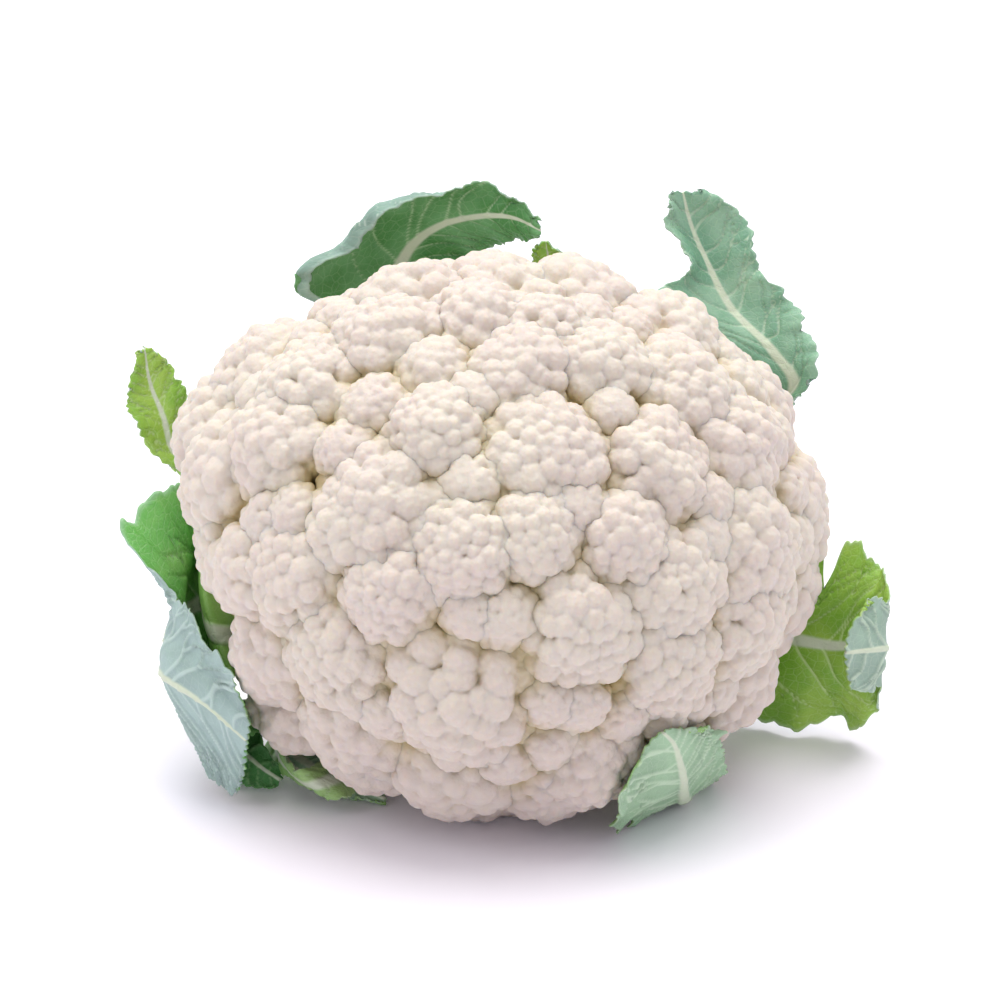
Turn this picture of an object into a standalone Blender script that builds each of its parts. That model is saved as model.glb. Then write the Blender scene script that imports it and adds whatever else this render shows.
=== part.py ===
"""A trimmed cauliflower lying on its side: a white curd on a cut stalk, with nine small leaves left on.

Metres, +Z up. The origin is on the small flat spot that the curd rests on. The curd and the leaves are
laid out in the head's own frame (millimetres, axis through the apex), which is then tilted and lifted.
"""

import math

import bmesh
import bpy
from mathutils import Matrix, Vector

MM = 0.001

# The head: a dome flattened a little along its axis, on a shorter underside.
HEAD_HALF_WIDTH = 95.0
HEAD_HALF_DEPTH = 86.0
SHOULDER = 0.12  # how much wider the head is towards its upper back than across its middle
DOME_HEIGHT = 74.0
UNDERSIDE_DEPTH = 52.0
SEAT_RISE = 8.0  # from the lowest of the underside up to the flat that the stalk grows from
HEAD_DETAIL = 5  # subdivisions of the starting icosphere

# How the head lies on the table.
AXIS_ELEVATION = 45.0
AXIS_LEAN = 9.0
REST_FLAT_DEPTH = 3.0  # how much the lowest floret is flattened where it bears on the table

# The stalk, and the clearances between pieces that touch.
STALK_RADIUS = 26.0
STALK_CUT_RADIUS = 24.0
STALK_FLAT_DEPTH = 1.5  # how much the stalk's lower edge is flattened where it bears on the table
STALK_BEVEL = 2.0
TOUCH_GAP = 0.35
LEAF_LIE_GAP = 2.0
LEAF_THICKNESS = 1.7
PETIOLE_ROOM = 1.2  # between a leaf's base and the stalk
BASE_DROP = 12.0  # from the seat down the stalk to where the leaves' bases meet it
RIM_DROP = 22.0  # from the head's middle down to where the bases pass its rim
RIM_ROOM = 4.0  # how far outside the dome they pass it

# The leaves' rows are drawn round a head of these half sizes, whose middle lies here, and follow its size.
DRAWN_HALF_WIDTH = 95.0
DRAWN_HALF_DEPTH = 86.0
DRAWN_DOME_HEIGHT = 74.0
DRAWN_UNDERSIDE_DEPTH = 52.0
DRAWN_MIDDLE = Vector((2.67, 30.13, 75.93))

# Florets on the dome: turn about the axis, angle down from the apex (degrees), radius in mm.
FLORETS = (
    (0, 0, 24), (265, 22, 15), (233, 32, 20), (170, 27, 16), (103, 24, 18), (62, 32, 20),
    (0, 30, 21), (315, 30, 16), (285, 45, 22), (254, 65, 29), (223, 50, 18), (198, 46, 25),
    (136, 54, 21), (110, 45, 19), (86, 38, 16), (157, 62, 21), (32, 46, 21), (13, 55, 22),
    (321, 45, 20), (348, 62, 23), (333, 68, 21), (310, 62, 22), (288, 82, 21), (222, 72, 22),
    (202, 68, 20), (171, 65, 21),
)
# Rings of outer florets behind and under these: first turn, last turn, count, angle down, radius.
FLORET_RINGS = (
    (50, 122, 4, 64, 22), (8, 172, 8, 84, 23), (186, 352, 8, 90, 22), (14, 346, 12, 112, 20),
)
REST_FLORET = (270, 106, 25)
FLORET_RISE = 6.0  # how far a floret's top stands over the dome

# Curd ivory, stalk and leaf greens: base colour and roughness.
IVORY = ((0.83, 0.78, 0.68), 0.65)
STALK_GREEN = ((0.72, 0.78, 0.52), 0.55)
LEAF_GREEN = ((0.13, 0.30, 0.10), 0.5)
BLUE_GREEN = ((0.32, 0.48, 0.42), 0.55)


def head_frame():
    """The head's frame in the world: its third axis runs through the apex."""
    elevation, lean = math.radians(AXIS_ELEVATION), math.radians(AXIS_LEAN)
    across = math.cos(lean)
    apex = Vector((math.sin(lean), -across * math.cos(elevation), across * math.sin(elevation)))
    up_back = Vector((0, math.sin(elevation), math.cos(elevation)))
    right = up_back.cross(apex).normalized()
    up_back = apex.cross(right).normalized()
    return Matrix((right, up_back, apex)).transposed()


def spoke(turn, down):
    """A unit vector in the head's frame, at a turn about the axis and an angle down from the apex."""
    turn, down = math.radians(turn), math.radians(down)
    return Vector((math.sin(down) * math.cos(turn), math.sin(down) * math.sin(turn), math.cos(down)))


def dome_radius(way):
    """Distance from the head's middle to its smooth dome, along a unit vector."""
    height = DOME_HEIGHT if way.z > 0 else UNDERSIDE_DEPTH
    width = HEAD_HALF_WIDTH * (1 + SHOULDER * way.y)
    return 1 / math.hypot(way.x / width, way.y / HEAD_HALF_DEPTH, way.z / height)


def all_florets():
    """(middle, radius) of every floret, in the head's frame."""
    places = [*FLORETS, REST_FLORET]
    for first, last, count, down, radius in FLORET_RINGS:
        step = (last - first) / (count - 1)
        places += [(first + step * i, down, radius) for i in range(count)]
    found = []
    for turn, down, radius in places:
        way = spoke(turn, down)
        found.append((way * (dome_radius(way) + FLORET_RISE - radius), radius))
    return found


def curd_radius(way, florets):
    """Distance from the head's middle to the outermost of the dome and the florets, along a unit vector."""
    reach = dome_radius(way)
    for middle, radius in florets:
        along = way.dot(middle)
        inside = radius**2 - middle.length_squared + along**2
        if inside > 0 and along > 0:
            reach = max(reach, along + math.sqrt(inside))
    return reach


SEAT_DEPTH = UNDERSIDE_DEPTH - SEAT_RISE
HEAD_TURN = head_frame()
ALL_FLORETS = all_florets()


def lowest_curd_point():
    """The rest floret's lowest point, from the head's middle, in the world's directions."""
    middle, radius = ALL_FLORETS[len(FLORETS)]
    return HEAD_TURN @ middle + Vector((0, 0, -radius))


REST_POINT = lowest_curd_point()
HEAD_MIDDLE = Vector((-REST_POINT.x, -REST_POINT.y, -REST_POINT.z - REST_FLAT_DEPTH))


def to_world(point):
    """A point of the head's frame in the world, still in millimetres."""
    return HEAD_TURN @ point + HEAD_MIDDLE


def clear_of_head(point, gap):
    """Moves a world point out along its spoke until it stands a gap off the florets."""
    local = HEAD_TURN.transposed() @ (point - HEAD_MIDDLE)
    way = local.normalized()
    least = curd_radius(way, ALL_FLORETS) + gap
    return to_world(way * least) if local.length < least else point


def follow_head(point):
    """A point drawn round the drawn head, moved to the same place round this one."""
    local = HEAD_TURN.transposed() @ (Vector(point) - DRAWN_MIDDLE)
    local.x *= HEAD_HALF_WIDTH / DRAWN_HALF_WIDTH
    local.y *= HEAD_HALF_DEPTH / DRAWN_HALF_DEPTH
    local.z *= DOME_HEIGHT / DRAWN_DOME_HEIGHT if local.z > 0 else UNDERSIDE_DEPTH / DRAWN_UNDERSIDE_DEPTH
    return to_world(local)


def finish(name, mesh, colour, collection):
    """Links a named object with its own plain material."""
    piece = bpy.data.objects.new(name, mesh)
    collection.objects.link(piece)
    material = bpy.data.materials.new(name)
    material.use_nodes = True
    shader = material.node_tree.nodes["Principled BSDF"]
    shader.inputs["Base Color"].default_value = (*colour[0], 1)
    shader.inputs["Roughness"].default_value = colour[1]
    shader.inputs["Metallic"].default_value = 0
    mesh.materials.append(material)
    mesh.shade_smooth()
    return piece


def cut_flat(bm, point, normal):
    """Cuts away what lies past a plane, and closes the cut with a flat face."""
    cut = bmesh.ops.bisect_plane(
        bm, geom=[*bm.verts, *bm.edges, *bm.faces], plane_co=point, plane_no=normal, clear_outer=True
    )
    rim = [g for g in cut["geom_cut"] if isinstance(g, bmesh.types.BMEdge)]
    bmesh.ops.triangulate(bm, faces=bmesh.ops.holes_fill(bm, edges=rim)["faces"])


def add_curd(collection):
    """The curd: an icosphere pushed out to the florets, flat where it rests and where the stalk joins."""
    bm = bmesh.new()
    bmesh.ops.create_icosphere(bm, subdivisions=HEAD_DETAIL, radius=1)
    for vert in bm.verts:
        way = vert.co.normalized()
        vert.co = way * curd_radius(way, ALL_FLORETS)
    cut_flat(bm, Vector((0, 0, -SEAT_DEPTH)), Vector((0, 0, -1)))
    bm.transform(Matrix.Translation(HEAD_MIDDLE) @ HEAD_TURN.to_4x4())
    cut_flat(bm, Vector((0, 0, 0)), Vector((0, 0, -1)))
    bm.transform(Matrix.Scale(MM, 4))
    bmesh.ops.recalc_face_normals(bm, faces=bm.faces)
    mesh = bpy.data.meshes.new("curd")
    bm.to_mesh(mesh)
    bm.free()
    return finish("curd", mesh, IVORY, collection)


def stalk_end_depth():
    """How far down the head's axis the stalk is cut, so that its lower edge just bears on the table."""
    rise = HEAD_TURN.col[2].z
    edge_drop = STALK_CUT_RADIUS * math.sqrt(1 - rise**2)
    return (HEAD_MIDDLE.z - edge_drop + STALK_FLAT_DEPTH) / rise


def add_stalk(collection):
    """The cut stalk: a short tapered stump that bears on the table along its lower edge."""
    top = SEAT_DEPTH + TOUCH_GAP
    length = stalk_end_depth() - top
    bm = bmesh.new()
    bmesh.ops.create_cone(
        bm, cap_ends=True, segments=48, radius1=STALK_CUT_RADIUS, radius2=STALK_RADIUS, depth=length
    )
    ends = [e for e in bm.edges if len(e.link_faces) == 2 and any(len(f.verts) > 4 for f in e.link_faces)]
    bmesh.ops.bevel(bm, geom=ends, offset=STALK_BEVEL, segments=2, affect="EDGES")
    middle = to_world(Vector((0, 0, -top - length / 2)))
    bm.transform(Matrix.Translation(middle) @ HEAD_TURN.to_4x4())
    cut_flat(bm, Vector((0, 0, 0)), Vector((0, 0, -1)))
    bm.transform(Matrix.Scale(MM, 4))
    mesh = bpy.data.meshes.new("stalk")
    bm.to_mesh(mesh)
    bm.free()
    return finish("stalk", mesh, STALK_GREEN, collection)


def base_rows(turn, width, rim_turn, rim_width):
    """A leaf's hidden rows: from the stalk's side out under the head to just below its rim."""
    rows = []
    start = STALK_RADIUS + PETIOLE_ROOM + LEAF_THICKNESS
    for share in BASE_SHARES:
        out = start + (HEAD_HALF_WIDTH + RIM_ROOM - start) * share
        fall = -SEAT_DEPTH - BASE_DROP + (SEAT_DEPTH + BASE_DROP - RIM_DROP) * share**2
        middle = math.radians(turn + (rim_turn - turn) * share)
        half = (width + (rim_width - width) * share) / 2 / out
        angles = (middle + half, middle, middle - half)
        rows.append([to_world(Vector((out * math.cos(a), out * math.sin(a), fall))) for a in angles])
    return rows


# Each leaf: colour, (turn at the stalk, width there, turn at the rim, width there), then its rows from
# the rim to the tip. A row is left margin, midrib, right margin, in mm round the drawn head.
LEAVES = {
    "leaf_upper_left": (
        LEAF_GREEN,
        (112, 9, 108, 26),
        (
            ((-64, 100, 129), (-30, 117, 127), (-12, 118, 124)),
            ((-52, 105, 148), (-26, 117, 140), (-8, 117, 136)),
            ((-33, 108, 159), (-17, 114, 147), (-4, 115, 141)),
            ((-12, 108, 165), (-6, 111, 151), (4, 111, 144)),
            ((5, 105, 163), (5, 106, 153), (9, 106, 147)),
            ((13, 102, 154), (14, 101, 151), (13, 101, 149)),
        ),
    ),
    "leaf_top_tip": (
        LEAF_GREEN,
        (84, 8, 80, 14),
        (
            ((9, 114, 127), (16, 116, 126), (26, 114, 127)),
            ((10, 113, 134), (16, 115, 134), (24, 113, 133)),
            ((13, 112, 140), (15, 112, 141), (18, 112, 140)),
        ),
    ),
    "leaf_upper_right": (
        BLUE_GREEN,
        (42, 9, 34, 24),
        (
            ((82, 90, 100), (93, 84, 104), (97, 78, 107)),
            ((66, 90, 117), (87, 88, 116), (101, 84, 120)),
            ((49, 90, 131), (74, 97, 127), (93, 94, 132)),
            ((54, 97, 142), (65, 104, 141), (82, 101, 144)),
            ((49, 102, 154), (60, 108, 152), (80, 106, 154)),
            ((53, 108, 163), (56, 109, 162), (62, 109, 162)),
        ),
    ),
    "leaf_left_small": (
        LEAF_GREEN,
        (160, 9, 163, 14),
        (
            ((-102, 64, 86), (-100, 66, 90), (-97, 68, 94)),
            ((-112, 63, 103), (-102, 67, 102), (-96, 69, 109)),
            ((-113, 66, 111), (-106, 69, 113), (-99, 71, 117)),
            ((-109, 69, 124), (-108, 69, 125), (-107, 69, 124)),
        ),
    ),
    "leaf_left_large": (
        BLUE_GREEN,
        (190, 10, 197, 34),
        (
            ((-86, 40, 20), (-95, 50, 46), (-94, 56, 80)),
            ((-90, 27, 12), (-107, 40, 44), (-105, 54, 85)),
            ((-92, 12, 8), (-105, 22, 38), (-118, 43, 79)),
            ((-88, 6, 6), (-100, 9, 41), (-105, 28, 67)),
            ((-85, 3, 4), (-90, -3, 37), (-94, 14, 61)),
            ((-82, 1, 2), (-78, -12, 30), (-80, -9, 52)),
        ),
    ),
    "leaf_lower_left_dark": (
        LEAF_GREEN,
        (216, 8, 212, 14),
        (
            ((-84, 16, 3), (-80, 22, 12), (-76, 26, 20)),
            ((-80, 10, 2), (-74, 14, 8), (-72, 18, 14)),
            ((-68, 9, 1), (-66, 11, 3), (-66, 13, 5)),
        ),
    ),
    "leaf_lower_left_pale": (
        BLUE_GREEN,
        (240, 8, 232, 18),
        (
            ((-72, 30, 3), (-68, 34, 14), (-62, 36, 22)),
            ((-60, 18, 2), (-58, 24, 8), (-54, 28, 12)),
            ((-46, 8, 1), (-46, 12, 3), (-44, 18, 5)),
            ((-34, 2, 1), (-34, 4, 1), (-34, 8, 1)),
        ),
    ),
    "leaf_lower_right": (
        BLUE_GREEN,
        (306, 9, 312, 22),
        (
            ((66, 18, 1), (58, 12, 1), (46, 12, 1)),
            ((70, 0, 12), (56, -4, 5), (43, -8, 1)),
            ((71, -10, 27), (55, -20, 20), (36, -18, 1)),
            ((68, -14, 36), (51, -32, 38), (33, -31, 12)),
            ((58, -24, 39), (46, -36, 45), (37, -42, 29)),
        ),
    ),
    "leaf_right": (
        BLUE_GREEN,
        (345, 10, 343, 30),
        (
            ((95, 68, 58), (86, 56, 32), (71, 62, 6)),
            ((104, 58, 63), (96, 50, 33), (90, 60, 2)),
            ((114, 56, 66), (106, 44, 34), (107, 54, 2)),
            ((120, 48, 60), (114, 36, 38), (117, 44, 12)),
            ((120, 40, 50), (120, 30, 42), (119, 32, 26)),
        ),
    ),
}
BASE_SHARES = (0.0, 0.45, 0.85)  # how far out to the rim the hidden rows lie
ROWS_A_SPAN = 3
COLUMNS_A_SPAN = 4


def smooth_line(points, steps):
    """Points along a Catmull-Rom curve through the given ones, so many to a span."""
    ends = [points[0] * 2 - points[1], *points, points[-1] * 2 - points[-2]]
    line = []
    for i in range(len(points) - 1):
        a, b, c, d = ends[i : i + 4]
        for step in range(steps):
            t = step / steps
            line.append(
                (b * 2 + (c - a) * t + (a * 2 - b * 5 + c * 4 - d) * t**2 + (b * 3 - a - c * 3 + d) * t**3) / 2
            )
    return [*line, points[-1]]


def add_leaf(name, colour, base, seen, collection):
    """One leaf: a loft through its rows, laid off the head and the table, then given its thickness."""
    rows = base_rows(*base) + [[follow_head(p) for p in row] for row in seen]
    sides = [smooth_line(list(side), ROWS_A_SPAN) for side in zip(*rows)]
    half = LEAF_THICKNESS / 2
    bm = bmesh.new()
    grid = []
    for row in zip(*sides):
        line = []
        for point in smooth_line(list(row), COLUMNS_A_SPAN):
            point = clear_of_head(point, LEAF_LIE_GAP + half)
            point.z = max(point.z, half)
            line.append(bm.verts.new(point))
        grid.append(line)
    for near, far in zip(grid, grid[1:]):
        for i in range(len(near) - 1):
            bm.faces.new((near[i], near[i + 1], far[i + 1], far[i]))
    bm.transform(Matrix.Scale(MM, 4))
    mesh = bpy.data.meshes.new(name)
    bm.to_mesh(mesh)
    bm.free()
    leaf = finish(name, mesh, colour, collection)
    wall = leaf.modifiers.new("thickness", "SOLIDIFY")
    wall.thickness = LEAF_THICKNESS * MM
    wall.offset = 0
    return leaf


def main():
    for old in list(bpy.data.objects):
        bpy.data.objects.remove(old)
    collection = bpy.data.collections.new("cauliflower")
    bpy.context.scene.collection.children.link(collection)
    add_curd(collection)
    add_stalk(collection)
    for name, (colour, base, seen) in LEAVES.items():
        add_leaf(name, colour, base, seen, collection)


main()
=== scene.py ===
# %% [markdown]
# # A cauliflower on its side
#
# This lesson dresses a plain model of a trimmed cauliflower in its real surface. The plain model gives the
# places and sizes: one solid for the curd, one for the cut stalk and one for each of nine small leaves.
# The lesson then grows the curd floret by floret, lays each leaf out with its veins and torn margin,
# and gives every piece a material of nodes. Lengths in the lists are millimetres, as a gardener would say
# them, and they become metres when a mesh is made.

# %% Load the frame
import math

import bpy
import numpy as np
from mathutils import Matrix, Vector


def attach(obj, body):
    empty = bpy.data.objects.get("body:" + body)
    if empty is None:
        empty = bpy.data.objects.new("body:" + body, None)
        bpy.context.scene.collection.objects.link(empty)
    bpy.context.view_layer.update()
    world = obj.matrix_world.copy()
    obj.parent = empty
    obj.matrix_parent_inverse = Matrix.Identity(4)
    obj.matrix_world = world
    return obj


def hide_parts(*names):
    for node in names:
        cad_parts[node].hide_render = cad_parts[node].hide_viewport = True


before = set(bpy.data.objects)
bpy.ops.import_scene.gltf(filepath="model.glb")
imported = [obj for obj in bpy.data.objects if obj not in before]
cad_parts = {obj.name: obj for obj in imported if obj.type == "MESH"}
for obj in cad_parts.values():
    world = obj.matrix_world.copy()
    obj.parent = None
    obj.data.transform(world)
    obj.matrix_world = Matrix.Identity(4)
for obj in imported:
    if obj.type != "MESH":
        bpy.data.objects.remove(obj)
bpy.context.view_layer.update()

MM = 0.001
print("nodes:", sorted(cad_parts))

# %% [markdown]
# ## The head's own frame
#
# A cauliflower grows round an axis, from the cut stalk through the middle of the crown, so its florets are
# easiest to place by a turn about that axis and an angle down from the crown. The head lies tilted on the
# table, so one matrix carries everything from the head's frame to the world. The tilt, the half sizes and
# the florets are the ones the plain curd was made from.

# %% The head's frame and dome
AXIS_ELEVATION = 45.0
AXIS_LEAN = 9.0
HEAD_HALF_WIDTH = 95.0
HEAD_HALF_DEPTH = 86.0
SHOULDER = 0.12
DOME_HEIGHT = 74.0
UNDERSIDE_DEPTH = 52.0
SEAT_DEPTH = 44.0
HEAD_MIDDLE = np.array([2.67, 30.13, 75.93])


def head_frame():
    """Columns are the head's right, its up-and-back and its axis through the crown."""
    elevation, lean = math.radians(AXIS_ELEVATION), math.radians(AXIS_LEAN)
    across = math.cos(lean)
    crown = Vector((math.sin(lean), -across * math.cos(elevation), across * math.sin(elevation)))
    up_back = Vector((0, math.sin(elevation), math.cos(elevation)))
    right = up_back.cross(crown).normalized()
    return np.array((right, crown.cross(right).normalized(), crown)).T


HEAD_TURN = head_frame()


def to_world(points):
    """Points of the head's frame, one a row, in the world's millimetres."""
    return np.asarray(points) @ HEAD_TURN.T + HEAD_MIDDLE


def to_head(points):
    return (np.asarray(points) - HEAD_MIDDLE) @ HEAD_TURN


def spoke(turn, down):
    """Unit vectors in the head's frame, from turns and angles down in degrees."""
    turn, down = np.radians(turn), np.radians(down)
    return np.stack([np.sin(down) * np.cos(turn), np.sin(down) * np.sin(turn), np.cos(down)], -1)


def dome_radius(ways):
    """From the head's middle to its smooth dome, along unit vectors."""
    height = np.where(ways[..., 2] > 0, DOME_HEIGHT, UNDERSIDE_DEPTH)
    width = HEAD_HALF_WIDTH * (1 + SHOULDER * ways[..., 1])
    squares = (ways[..., 0] / width) ** 2 + (ways[..., 1] / HEAD_HALF_DEPTH) ** 2
    return 1 / np.sqrt(squares + (ways[..., 2] / height) ** 2)


print("the crown points along:", HEAD_TURN[:, 2].round(3))

# %% [markdown]
# ## Where the florets sit
#
# The florets of the crown are placed one by one, because each head has its own pattern: a cluster at the
# crown, large ones low at the front, small ones squeezed between. Round the rim and under it they come in
# rings, so a loop places those.

# %% The florets
# Turn, angle down and radius of each.
FLORETS = (
    (0, 0, 24), (265, 22, 15), (233, 32, 20), (170, 27, 16), (103, 24, 18), (62, 32, 20),
    (0, 30, 21), (315, 30, 16), (285, 45, 22), (254, 65, 29), (223, 50, 18), (198, 46, 25),
    (136, 54, 21), (110, 45, 19), (86, 38, 16), (157, 62, 21), (32, 46, 21), (13, 55, 22),
    (321, 45, 20), (348, 62, 23), (333, 68, 21), (310, 62, 22), (288, 82, 21), (222, 72, 22),
    (202, 68, 20), (171, 65, 21),
)
REST_FLORET = (270, 106, 25)  # the head rests on this one
# Rings: first and last turn, count, angle down, radius, rise over the dome.
FLORET_RINGS = (
    (50, 122, 4, 64, 22, 6.0), (8, 31, 2, 84, 23, 6.0), (55, 55, 1, 84, 23, 2.0), (78, 102, 2, 84, 23, 5.0),
    (125, 125, 1, 84, 23, 3.0), (149, 172, 2, 84, 23, 8.0), (186, 186, 1, 90, 22, 4.0),
    (210, 352, 7, 90, 22, 6.0), (14, 346, 12, 112, 20, 6.0),
)
# More florets on the left flank and behind it: turn, angle down, radius, rise over the dome.
FLANK_FLORETS = (
    (209, 103, 25, 6.0), (196, 78, 17, 6.0), (238, 98, 20, 6.0), (160, 90, 21, 11.0),
    (151, 103, 16, 2.0), (208, 120, 20, 17.0), (232, 119, 17, 12.0), (218, 107, 19, 15.0),
)
FLORET_RISE = 6.0


def all_florets():
    """(unit vector from the head's middle, floret's own middle, radius), crown first."""
    places = [(*place, FLORET_RISE) for place in (*FLORETS, REST_FLORET)]
    for first, last, count, down, radius, rise in FLORET_RINGS:
        places += [(turn, down, radius, rise) for turn in np.linspace(first, last, count)]
    places += FLANK_FLORETS
    found = []
    for turn, down, radius, rise in places:
        way = spoke(turn, down)
        found.append((way, way * (dome_radius(way) + rise - radius), radius))
    return found


def floret_envelope(ways, florets):
    """How far the floret balls reach from the head's middle in each direction."""
    reach = np.zeros(len(ways))
    for _, middle, radius in florets:
        along = ways @ middle
        inside = radius**2 - middle @ middle + along**2
        met = (inside > 0) & (along > 0)
        reach = np.maximum(reach, np.where(met, along + np.sqrt(np.maximum(inside, 0)), 0))
    return reach


ALL_FLORETS = all_florets()
print("florets:", len(ALL_FLORETS))

# %% [markdown]
# ## Young florets in the gaps
#
# Where round florets meet, pits stay open between them. On a real head, young florets squeeze up through
# every pit. The loop finds the deepest pit left, sets a small floret in it, and looks again.

# %% Fill the pits
GOLDEN = math.pi * (3 - math.sqrt(5))
PIT_LOOKS = 900
PIT_DEPTH = 3.0  # a pit shallower than this stays
DEEP_PIT = 25.0  # a pit this deep gets the largest young floret
LOWEST_PIT = 100  # degrees down from the crown
MOST_YOUNG = 60
YOUNG_RISE = 2.0  # how far a young floret's top stands over the dome
YOUNG_RADIUS = 8.5
YOUNG_GROWTH = 4.0  # the radius that the deepest pit adds


def young_florets(florets):
    steps = np.arange(PIT_LOOKS)
    rise = 1 - (1 - math.cos(math.radians(LOWEST_PIT))) * (steps + 0.5) / PIT_LOOKS
    ways = spoke(np.degrees(steps * GOLDEN), np.degrees(np.arccos(rise)))
    dome = dome_radius(ways)
    found = []
    while len(found) < MOST_YOUNG:
        pits = dome - floret_envelope(ways, florets + found)
        deepest = int(pits.argmax())
        if pits[deepest] < PIT_DEPTH:
            break
        growth = YOUNG_GROWTH * min(1.0, pits[deepest] / DEEP_PIT)
        radius = YOUNG_RADIUS + growth + 0.7 * (len(found) % 3)
        way = ways[deepest]
        found.append((way, way * (dome[deepest] + YOUNG_RISE - radius), radius))
    return found


YOUNG_FLORETS = young_florets(ALL_FLORETS)
print("young florets:", len(YOUNG_FLORETS))

# %% [markdown]
# ## A ball to grow florets from
#
# Every floret starts as the same thing: a cube, cut up in edit mode and blown into a ball. A cube's grid
# keeps its faces nearly even, where a UV sphere would crowd them at its poles. The part that will be deep
# inside the head is cut off and closed flat. Each floret gets a copy with its own mesh.

# %% Make the blank balls
ROOT_CUT = -0.45  # where the blank is cut, in ball radii below its middle


def blank_ball(cuts):
    """A unit ball of even faces whose lower end is cut off and closed."""
    bpy.ops.object.select_all(action="DESELECT")
    bpy.ops.mesh.primitive_cube_add(size=2)
    ball = bpy.context.object
    bpy.ops.object.mode_set(mode="EDIT")
    bpy.ops.mesh.subdivide(number_cuts=cuts)
    bpy.ops.object.mode_set(mode="OBJECT")
    points = read_points(ball.data)
    points = np.tan(points * math.pi / 4)
    points /= np.linalg.norm(points, axis=1, keepdims=True)
    write_points(ball.data, points)
    bpy.ops.object.mode_set(mode="EDIT")
    bpy.ops.mesh.select_all(action="SELECT")
    bpy.ops.mesh.bisect(plane_co=(0, 0, ROOT_CUT), plane_no=(0, 0, -1), clear_outer=True, use_fill=True)
    bpy.ops.object.mode_set(mode="OBJECT")
    mesh = ball.data
    bpy.data.objects.remove(ball)
    return mesh


def read_points(mesh):
    flat = np.empty(len(mesh.vertices) * 3)
    mesh.vertices.foreach_get("co", flat)
    return flat.reshape(-1, 3)


def write_points(mesh, points):
    mesh.vertices.foreach_set("co", np.asarray(points, dtype=np.float64).ravel())
    mesh.update()


def keep_above(points, height):
    """The points, with the ones lower than this height brought up to it."""
    points[:, 2] = np.maximum(points[:, 2], height)
    return points


BLANKS = {}


def blank_for(radius, spacing):
    """The blank whose faces come out about this far apart on a ball of this radius."""
    cuts = max(8, round(math.pi / 2 * radius / spacing / 4) * 4)
    if cuts not in BLANKS:
        BLANKS[cuts] = blank_ball(cuts)
        print("blank with", cuts, "cuts:", len(BLANKS[cuts].vertices), "points")
    return BLANKS[cuts].copy()


# %% [markdown]
# ## How a floret branches
#
# A floret is a ball of lumps, each lump a ball of buds. They are laid out as a plant lays them: each one a
# golden angle on from the last, smallest and youngest at the middle. Pushing every point of the ball out to
# the outermost lump or bud over it gives crisp creases between round tops, which smooth noise never does.

# %% Lumps and buds
CORE_SHARE = 0.77  # the smooth ball under the lumps, in floret radii
SEAT_SHARE = 0.82  # where the lumps sit, in floret radii
BUDDED_LUMP = 2.6  # a lump smaller than this has no buds of its own
LUMPED_ANGLE, BUDDED_ANGLE = 1.9, 1.7  # radians covered by lumps on a floret and by buds on a lump
LUMP_FILL, BUD_FILL = 0.80, 0.66  # how loosely they are packed
SWELL = 0.05


def branch(radius, smallest, largest, widest, fill, rng):
    """Middles (unit directions) and radii of the balls that cover a bigger ball, from its top down.

    smallest and largest are shares of the big ball's radius, at its top and at the widest angle."""
    ways, sizes = [], []
    level, k = 1.0, 0
    phase = rng.uniform(0, 2 * math.pi)
    while level > math.cos(widest):
        angle = math.acos(level)
        size = radius * (smallest + (largest - smallest) * angle / widest)
        turn = phase + GOLDEN * k + rng.normal(0, 0.10)
        tilt = angle + rng.normal(0, 0.12) * size / radius
        ways.append((math.sin(tilt) * math.cos(turn), math.sin(tilt) * math.sin(turn), math.cos(tilt)))
        sizes.append(size * rng.uniform(0.86, 1.16))
        level -= fill * size**2 / (2 * radius**2)
        k += 1
    return np.array(ways), np.array(sizes)


def outermost(ways, middles, radii):
    """How far out each direction leaves the farthest ball, and which ball that is."""
    along = ways @ middles.T
    inside = radii**2 - (middles**2).sum(1) + along**2
    reach = np.where((inside > 0) & (along > 0), along + np.sqrt(np.maximum(inside, 0)), 0.0)
    best = reach.argmax(1)
    return reach[np.arange(len(ways)), best], best, reach


def turned_to(way):
    """A rotation, as rows, that carries the third axis to a unit vector."""
    side = np.cross(way, (0.0, 0.0, 1.0) if abs(way[2]) < 0.9 else (1.0, 0.0, 0.0))
    side /= np.linalg.norm(side)
    return np.array((side, np.cross(way, side), way))


sample_ways, _ = branch(20, 0.12, 0.32, LUMPED_ANGLE, LUMP_FILL, np.random.default_rng(1))
print("lumps on a floret of 20 mm radius:", len(sample_ways))


# %% A floret's surface
def uneven(ways, size, rng):
    """A slow swell of plus or minus size, so that no floret is a true ball."""
    swell = np.zeros(len(ways))
    for pull in rng.normal(0, 2.2, (4, 3)):
        swell += np.sin(ways @ pull + rng.uniform(0, 6.3))
    return 1 + size * swell / 2


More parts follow.
